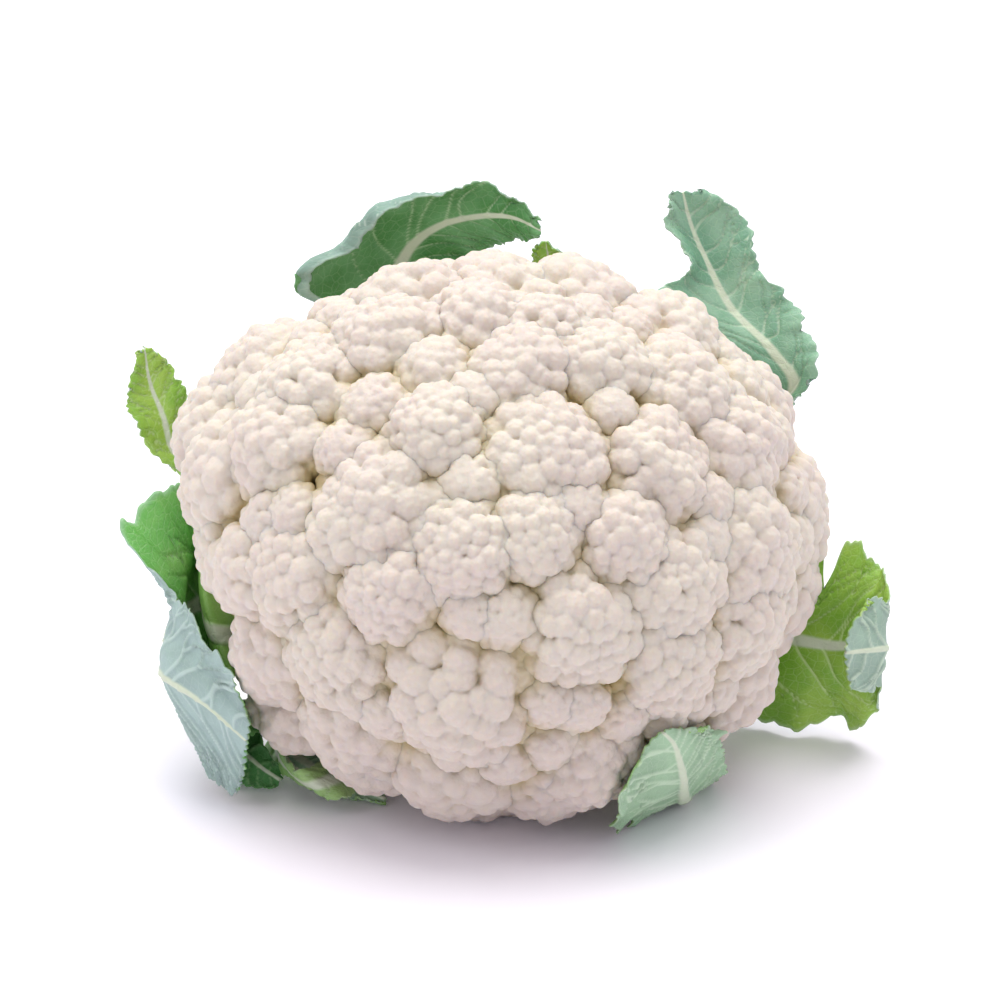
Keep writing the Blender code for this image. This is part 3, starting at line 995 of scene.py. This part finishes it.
# %% Six leaf finishes
DARK_LEAF = leaf_material(
    "dark green leaf", (0.06, 0.24, 0.055), (0.14, 0.36, 0.14), (0.25, 0.39, 0.32),
    (0.40, 0.60, 0.34), (0.50, 0.61, 0.52), (0.24, 0.40, 0.10),
)
# A darker copy of the leaf finish, its underside as dark as its top: painted shade for the leaf low under
# the head's left side.
PAINTED_SHADE_LEAF = leaf_material(
    "painted shade green leaf", (0.06, 0.24, 0.045), (0.10, 0.32, 0.07), (0.065, 0.24, 0.06),
    (0.24, 0.42, 0.18), (0.20, 0.38, 0.16), (0.20, 0.32, 0.08),
)
BLUE_LEAF = leaf_material(
    "blue green leaf", (0.17, 0.36, 0.23), (0.30, 0.49, 0.34), (0.32, 0.46, 0.40),
    (0.50, 0.65, 0.48), (0.50, 0.63, 0.52), (0.28, 0.42, 0.14),
)
GLAUCOUS_LEAF = leaf_material(
    "glaucous leaf", (0.13, 0.42, 0.08), (0.25, 0.54, 0.14), (0.36, 0.49, 0.455),
    (0.46, 0.68, 0.36), (0.50, 0.63, 0.58), (0.34, 0.54, 0.12),
)
MINT_LEAF = leaf_material(
    "mint green leaf", (0.20, 0.42, 0.10), (0.28, 0.50, 0.16), (0.35, 0.53, 0.34),
    (0.50, 0.66, 0.38), (0.54, 0.68, 0.50), (0.42, 0.54, 0.24),
)
BRIGHT_LEAF = leaf_material(
    "bright green leaf", (0.20, 0.42, 0.035), (0.34, 0.54, 0.075), (0.34, 0.48, 0.38),
    (0.58, 0.74, 0.34), (0.54, 0.66, 0.52), (0.36, 0.46, 0.10),
)
print("nodes in each leaf's material:", len(DARK_LEAF.node_tree.nodes))

# %% [markdown]
# ## The nine leaves
#
# Each leaf is given by where it leaves the stalk and by its rows from the head's rim to its tip. A row runs
# from the left margin to the right one, and the rib's column is counted from 0.

# %% Grow the leaves
LEAVES = (
    dict(
        name="leaf_upper_left", base=(112, 9, 108, 26), rib=2, material=DARK_LEAF, seed=11, vein_step=8.5,
        seen=(
            ((-61, 97, 135), (-64, 99, 133), (-34, 116, 128), (-12, 118, 124)),
            ((-49, 100, 146), (-52, 104, 147), (-29, 117, 141), (-8, 117, 134)),
            ((-32, 101, 160), (-34, 107, 160), (-19, 114, 150), (-4, 115, 140)),
            ((-12, 107, 166), (-9, 111, 162), (-6, 111, 154), (4, 111, 144)),
            ((5, 105, 163), (5, 107, 160), (5, 106, 155), (9, 106, 147)),
            ((13, 101, 155), (13, 102, 154), (14, 101, 152), (13, 101, 149)),
        ),
    ),
    dict(
        name="leaf_top_tip", base=(84, 8, 80, 14), rib=1, material=BRIGHT_LEAF, seed=12, vein_step=6.0,
        stout=0.6,
        seen=(
            ((9, 114, 127), (16, 116, 126), (26, 114, 127)),
            ((9, 113, 136), (16, 115, 136), (25, 113, 135)),
            ((12, 111, 144), (15, 112, 146), (19, 112, 143)),
        ),
    ),
    dict(
        name="leaf_upper_right", base=(42, 9, 34, 24), rib=1, material=BLUE_LEAF, seed=13, vein_step=9.0,
        seen=(
            ((82, 90, 100), (93, 84, 104), (97, 78, 107)),
            ((66, 90, 117), (87, 88, 116), (101, 84, 120)),
            ((48, 88, 133), (74, 97, 127), (93, 94, 132)),
            ((60, 96, 143), (66, 104, 141), (82, 101, 144)),
            ((52, 102, 156), (61, 108, 152), (80, 106, 156)),
            ((55, 108, 164), (58, 109, 164), (64, 109, 164)),
        ),
    ),
    dict(
        name="leaf_left_small", base=(160, 9, 163, 14), rib=1, material=BRIGHT_LEAF, seed=14, vein_step=6.0,
        stout=0.7,
        seen=(
            ((-104, 64, 86), (-101, 66, 90), (-97, 68, 94)),
            ((-115, 63, 103), (-105, 67, 102), (-97, 69, 109)),
            ((-116, 66, 111), (-109, 69, 113), (-100, 71, 117)),
            ((-111, 69, 124), (-110, 69, 126), (-108, 69, 125)),
        ),
    ),
    dict(
        name="leaf_left_large", base=(190, 10, 197, 34), rib=1, material=GLAUCOUS_LEAF, seed=15,
        vein_step=10.0, wave=0.6, teeth=1.2,
        seen=(
            ((-86, 40, 20), (-93, 50, 46), (-93, 54, 62), (-92, 56, 80)),
            ((-89, 27, 12), (-101, 38, 44), (-97, 46, 61), (-104, 55, 84)),
            ((-90, 12, 8), (-102, 22, 38), (-98, 33, 56), (-117, 43, 76)),
            ((-87, 6, 6), (-101, 9, 40), (-99, 18, 52), (-100, 27, 63)),
            ((-84, 3, 4), (-88, -4, 37), (-91, 4, 48), (-92, 12, 59)),
            ((-79, 1, 2), (-74, -13, 28), (-75, -12, 40), (-75, -9, 50)),
        ),
    ),
    dict(
        name="leaf_lower_left_dark", base=(216, 8, 212, 14), rib=1, material=PAINTED_SHADE_LEAF, seed=16,
        vein_step=6.0, stout=0.7,
        seen=(
            ((-84, 16, 3), (-80, 22, 12), (-76, 26, 20)),
            ((-80, 10, 2), (-74, 14, 8), (-72, 18, 14)),
            ((-68, 9, 1), (-66, 11, 3), (-66, 13, 5)),
        ),
    ),
    dict(
        name="leaf_lower_left_pale", base=(240, 8, 232, 18), rib=1, material=MINT_LEAF, seed=17,
        vein_step=7.0, stout=0.8,
        seen=(
            ((-73, 23, 4), (-70, 27, 11), (-65, 31, 17)),
            ((-61, 11, 2), (-59, 16, 7), (-56, 21, 12)),
            ((-47, 4, 1), (-46, 8, 4), (-44, 13, 7)),
            ((-34, -1, 1), (-34, 1, 2), (-34, 4, 2)),
        ),
    ),
    dict(
        name="leaf_lower_right", base=(306, 9, 312, 22), rib=1, material=MINT_LEAF, seed=18, vein_step=7.0,
        seen=(
            ((66, 18, 1), (58, 12, 1), (46, 12, 1)),
            ((70, 0, 12), (56, -4, 5), (43, -8, 1)),
            ((67, -10, 27), (54, -20, 20), (36, -18, 1)),
            ((64, -14, 36), (50, -32, 38), (33, -31, 12)),
            ((58, -24, 39), (46, -36, 45), (37, -42, 29)),
        ),
    ),
    dict(
        name="leaf_right", base=(345, 10, 343, 30), rib=1, material=BRIGHT_LEAF, seed=19, vein_step=9.0,
        notches=((-1, 1.2, 0.55, 3.2),),
        seen=(
            ((95, 68, 58), (86, 56, 32), (71, 62, 6)),
            ((104, 58, 63), (96, 50, 33), (88, 52, 2)),
            ((114, 56, 66), (106, 44, 34), (107, 50, 2)),
            ((120, 48, 60), (116, 36, 38), (117, 42, 8)),
            ((121, 38, 56), (119, 27, 41), (119, 30, 24)),
            ((114, 28, 58), (105, 19, 43), (109, 22, 28)),
        ),
    ),
)
leaves = [add_leaf(**leaf) for leaf in LEAVES]
print("leaves:", len(leaves))

# %% [markdown]
# ## Heart and branches
#
# Under its florets a cauliflower is a small white tree: the stalk's top spreads into thick branches, and
# each outer floret stands on one. They show from behind, where the head was trimmed. The heart is a ball
# pushed out to a smaller dome, and each branch is a curve with a round bevel that swells at both ends.

# %% The heart
HEART_SHARE = 0.80  # the heart's reach, in the dome's
HEART_SPACING = 2.5
HEART_DEPTH = 0.45  # painted all over the heart, so that it shows a little of the clefts' yellow and painted shade


def dress(piece, node, material):
    """Everything a finished piece is told: its body, the node that it stands for and material."""
    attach(piece, "root")
    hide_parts(node)
    piece.data.materials.clear()
    piece.data.materials.append(material)
    return piece


def add_heart():
    """The solid middle of the head, cut flat where it meets the stalk."""
    mesh = blank_for(DOME_HEIGHT * HEART_SHARE, HEART_SPACING)
    ways = read_points(mesh)
    ways /= np.linalg.norm(ways, axis=1)[:, None]
    rng = np.random.default_rng(31)
    reach = dome_radius(ways) * HEART_SHARE * uneven(ways * 3, 0.03, rng)
    write_points(mesh, to_world(keep_above(ways * reach[:, None], -SEAT_DEPTH + 3)) * MM)
    paint(mesh, "crease", np.zeros(len(ways)))
    paint(mesh, "depth", np.full(len(ways), HEART_DEPTH))
    mesh.shade_smooth()
    return dress(add_object("curd_heart", mesh), "curd", CURD)


# %% The branches
BRANCH_TURNS = 14
BRANCH_LOWEST = 0.4  # height over the floor


def add_branch(index, points, radii):
    """A tapered branch along points of the head's frame."""
    bpy.ops.object.select_all(action="DESELECT")
    bpy.ops.curve.primitive_bezier_curve_add(location=(0, 0, 0))
    branch_curve = bpy.context.object
    line = branch_curve.data
    line.dimensions = "3D"
    line.bevel_depth = MM
    line.bevel_resolution = 5
    line.resolution_u = 8
    line.use_fill_caps = True
    spline = line.splines[0]
    spline.bezier_points.add(len(points) - 2)
    for knot, place, radius in zip(spline.bezier_points, to_world(points) * MM, radii):
        knot.co = place
        knot.handle_left_type = knot.handle_right_type = "AUTO"
        knot.radius = radius
    bpy.ops.object.convert(target="MESH")
    piece = bpy.context.object
    bpy.ops.object.mode_set(mode="EDIT")
    bpy.ops.mesh.select_all(action="SELECT")
    bpy.ops.mesh.remove_doubles(threshold=0.01 * MM)
    bpy.ops.mesh.normals_make_consistent(inside=False)
    bpy.ops.object.mode_set(mode="OBJECT")
    piece.name = piece.data.name = f"branch_{index:02d}"
    write_points(piece.data, keep_above(read_points(piece.data), BRANCH_LOWEST * MM))
    piece.data.shade_smooth()
    return dress(piece, "curd", BRANCH)


def add_branches():
    made = []
    for i in range(BRANCH_TURNS):
        turn = 360 / BRANCH_TURNS * i + 9 * math.sin(i * 2.3)
        end_way = spoke(turn, 112 if i % 2 else 103)
        end = end_way * (dome_radius(end_way) - 14)
        level = spoke(turn, 90)
        start = level * 13 + np.array([0, 0, -SEAT_DEPTH - 1.0])
        knee = level * 31 + np.array([0, 0, -SEAT_DEPTH + 7.0])
        made.append(add_branch(i, np.array([start, knee, end]), (9.5, 9.0 + (i % 3), 12.0)))
    return made


# %% [markdown]
# ## The stalk
#
# The stalk is a stump, cut square with a knife and trimmed of its outer leaves, each of which left a
# crescent scar. A cylinder gets rings along its side by bisecting and rings over its cut face by inset.
# The points are then moved in the head's frame, so the relief follows the stalk and not the world.

# %% Sizes of the stalk
STALK_CUT_RADIUS = 24.0
STALK_CUT_DEPTH = 86.28
STALK_TOP_DEPTH = SEAT_DEPTH - 2.0
STALK_SIDES = 120
STALK_RINGS = 44
CUT_RINGS = 20
print("stalk length:", round(STALK_CUT_DEPTH - STALK_TOP_DEPTH, 1), "mm")


# %% The stalk's shell
def stalk_shell():
    """An upright cylinder, 1 in radius, with rings along its side and on its cut face."""
    length = STALK_CUT_DEPTH - STALK_TOP_DEPTH
    bpy.ops.object.select_all(action="DESELECT")
    bpy.ops.mesh.primitive_cylinder_add(vertices=STALK_SIDES, radius=1, depth=length)
    shell = bpy.context.object
    bpy.ops.object.mode_set(mode="EDIT")
    for k in range(1, STALK_RINGS):
        bpy.ops.mesh.select_all(action="SELECT")
        height = -length / 2 + length * k / STALK_RINGS
        bpy.ops.mesh.bisect(plane_co=(0, 0, height), plane_no=(0, 0, 1))
    bpy.ops.object.mode_set(mode="OBJECT")
    for face in shell.data.polygons:
        face.select = len(face.vertices) > 4 and face.center.z < 0
    for edge in shell.data.edges:
        edge.select = False
    bpy.ops.object.mode_set(mode="EDIT")
    bpy.ops.mesh.select_mode(type="FACE")
    for k in range(CUT_RINGS):
        bpy.ops.mesh.inset(thickness=0.93 / CUT_RINGS, depth=0)
    bpy.ops.mesh.poke()
    bpy.ops.object.mode_set(mode="OBJECT")
    return shell


# %% Relief on the stalk
SCARS = tuple((137.5 * k % 360, 0.16 + 0.066 * k) for k in range(11))  # turn, share of the way down
print("leaf scars:", len(SCARS))


def add_stalk():
    shell = stalk_shell()
    points = read_points(shell.data)
    length = STALK_CUT_DEPTH - STALK_TOP_DEPTH
    out = np.hypot(points[:, 0], points[:, 1])
    turn = np.arctan2(points[:, 1], points[:, 0])
    down = (length / 2 - points[:, 2]) / length
    on_cut = (down > 0.999) & (out < 0.985)
    side = STALK_RADIUS + (STALK_CUT_RADIUS - STALK_RADIUS) * down
    flutes = 0.55 * np.sin(5 * turn + 1.0) + 0.35 * np.sin(8 * turn + 2 * down + 0.4)
    relief = flutes * (1 - 0.4 * down) + 2.2 * np.exp(-((down / 0.10) ** 2))
    scar = np.zeros(len(points))
    for scar_turn, scar_down in SCARS:
        across = (np.degrees(turn) - scar_turn + 180) % 360 - 180
        bow = scar_down + 0.05 * (across / 26) ** 2
        width = np.exp(-((across / 27) ** 4))
        lip = np.exp(-(((down - bow) / 0.020) ** 2)) * width
        hollow = np.exp(-(((down - bow - 0.055) / 0.04) ** 2)) * width
        relief += 0.95 * lip - 0.55 * hollow
        scar = np.maximum(scar, np.maximum(lip, 0.6 * hollow))
    edge_round = np.clip((down - 0.965) / 0.035, 0, 1) ** 2 * 1.1
    radius = side + relief * (1 - on_cut) - edge_round * (out > 0.9)
    grain = 0.16 * np.sin(turn * 23 + 4 * np.sin(out * 9)) * np.clip(out * 1.2, 0, 1)
    pith = 0.9 * np.exp(-((out / 0.62) ** 4)) - 0.35 * np.exp(-(((out - 0.80) / 0.05) ** 2))
    sink = np.where(on_cut, pith + 0.35 * grain + 0.25 * np.sin(7 * points[:, 0] + 1.5), 0.0)
    depth = STALK_TOP_DEPTH + down * length - sink
    local = np.stack([out * radius * np.cos(turn), out * radius * np.sin(turn), -depth], -1)
    write_points(shell.data, keep_above(to_world(local), 0.0) * MM)
    shell.name = shell.data.name = "trimmed_stalk"
    paint(shell.data, "cut_face", np.where(down > 0.985, 1.0, 0.0))
    paint(shell.data, "out", out)
    paint(shell.data, "scar", scar)
    shell.data.shade_smooth()
    shell.data.set_sharp_from_angle(angle=math.radians(50))
    return dress(shell, "stalk", STALK)


# %% [markdown]
# ## Branch and stalk finishes
#
# Both are smooth green-white skin with faint streaks along the grain. The cut face has dried to tan, with
# a darker ring where the sap vessels run and a pale pith inside it.

# %% Materials of stalk and branches
def branch_material():
    material, tree, shader = new_material("pale branch skin")
    place = add_node(tree, "ShaderNodeTexCoord").outputs["Object"]
    skin = mottled(tree, place, 0.02, 0.7, colour(0.66, 0.68, 0.50), colour(0.56, 0.62, 0.38))
    finish_shader(
        tree, shader, grained(tree, place, 0.0016, 0.8), 0.3, 0.0004, Base_Color=skin, Roughness=0.5,
        Subsurface_Weight=0.25, Subsurface_Radius=(1.0, 0.8, 0.4), Subsurface_Scale=0.003,
    )
    return material


def stalk_material():
    material, tree, shader = new_material("trimmed stalk")
    place = add_node(tree, "ShaderNodeTexCoord").outputs["Object"]
    cut, out, scar = attribute(tree, "cut_face"), attribute(tree, "out"), attribute(tree, "scar")
    skin = mottled(tree, place, 0.014, 0.9, colour(0.50, 0.60, 0.28), colour(0.62, 0.67, 0.42))
    skin = mix_colour(tree, ramp(tree, scar, 0.25, 0.8), skin, colour(0.62, 0.56, 0.36))
    rind = ramp(tree, out, 0.55, 0.75)
    flesh = mix_colour(tree, rind, colour(0.74, 0.70, 0.50), colour(0.60, 0.60, 0.34))
    vessels = math_node(tree, "COMPARE", out, 0.79)
    vessels.node.inputs[2].default_value = 0.035
    flesh = mix_colour(tree, math_node(tree, "MULTIPLY", vessels, 0.7), flesh, colour(0.40, 0.36, 0.18))
    dried = mottled(tree, place, 0.006, 0.7, flesh, colour(0.52, 0.43, 0.25))
    grain = grained(tree, place, 0.0011, 0.5)
    relief = math_node(tree, "MULTIPLY", grain, math_node(tree, "ADD", 0.4, cut))
    rough = math_node(tree, "ADD", 0.45, math_node(tree, "MULTIPLY", cut, 0.25))
    finish_shader(
        tree, shader, relief, 0.45, 0.0005, Base_Color=mix_colour(tree, cut, skin, dried), Roughness=rough,
        Subsurface_Weight=0.2, Subsurface_Radius=(1.0, 0.9, 0.4), Subsurface_Scale=0.002,
    )
    return material

# %% Grow the branches and trim the stalk
BRANCH = branch_material()
STALK = stalk_material()
heart = add_heart()
branches = add_branches()
stalk = add_stalk()
print("branches:", len(branches))
print("heart and stalk points:", len(heart.data.vertices), len(stalk.data.vertices))

# %% [markdown]
# ## Floor, light and camera
#
# A pale floor and a broad overhead light keep the shadows soft, as in a light tent, and a weaker lamp
# from the left lifts that side of the head. The camera looks slightly down on the head through a long lens.

# %% The floor
FLOOR_SIZE = 8.0

bpy.ops.object.select_all(action="DESELECT")
bpy.ops.mesh.primitive_plane_add(size=FLOOR_SIZE, location=(0, 0, 0))
floor = bpy.context.object
floor.name = "floor"
floor_material, _, floor_shader = new_material("white paper floor")
floor_look = {"Base Color": colour(0.95, 0.925, 0.99), "Roughness": 0.8}
set_inputs(floor_material.node_tree, floor_shader, floor_look)
floor.data.materials.append(floor_material)
print("floor:", FLOOR_SIZE, "m across")


# %% The lights
def add_area_light(name, place, target, size, watts, tint):
    light = bpy.data.lights.new(name, "AREA")
    light.shape = "SQUARE"
    light.size = size
    light.energy = watts
    light.color = tint
    lamp = bpy.data.objects.new(name, light)
    lamp.location = place
    lamp.rotation_euler = (Vector(target) - Vector(place)).to_track_quat("-Z", "Y").to_euler()
    bpy.context.scene.collection.objects.link(lamp)
    return lamp


add_area_light("softbox above", (0.1, 0.5, 2.4), (0, 0.2, 0.06), 2.4, 66, (1.0, 0.99, 0.965))
add_area_light("fill from the left", (-1.3, -0.4, 1.2), (0, 0.03, 0.08), 0.8, 4.5, (1.0, 0.99, 0.96))

world = bpy.data.worlds.new("light tent")
world.use_nodes = True
sky = world.node_tree.nodes["Background"]
set_inputs(world.node_tree, sky, {"Color": colour(0.955, 0.935, 1.0), "Strength": 0.71})
bpy.context.scene.world = world

# %% The camera
CAMERA_TARGET = Vector((0.0006, 0.040, 0.085))
CAMERA_ELEVATION = math.radians(22)
CAMERA_DISTANCE = 1.1
FRAME_WIDTH = 0.307  # what the frame takes in at the target
SENSOR_WIDTH = 36.0

camera_data = bpy.data.cameras.new("camera")
camera_data.sensor_width = SENSOR_WIDTH
camera_data.lens = SENSOR_WIDTH * CAMERA_DISTANCE / FRAME_WIDTH
camera = bpy.data.objects.new("camera", camera_data)
back = Vector((0, -math.cos(CAMERA_ELEVATION), math.sin(CAMERA_ELEVATION)))
camera.location = CAMERA_TARGET + back * CAMERA_DISTANCE
camera.rotation_euler = (math.pi / 2 - CAMERA_ELEVATION, 0, 0)
bpy.context.scene.collection.objects.link(camera)
bpy.context.scene.camera = camera
bpy.context.scene.view_settings.view_transform = "Standard"
print("lens:", round(camera_data.lens, 1), "mm")
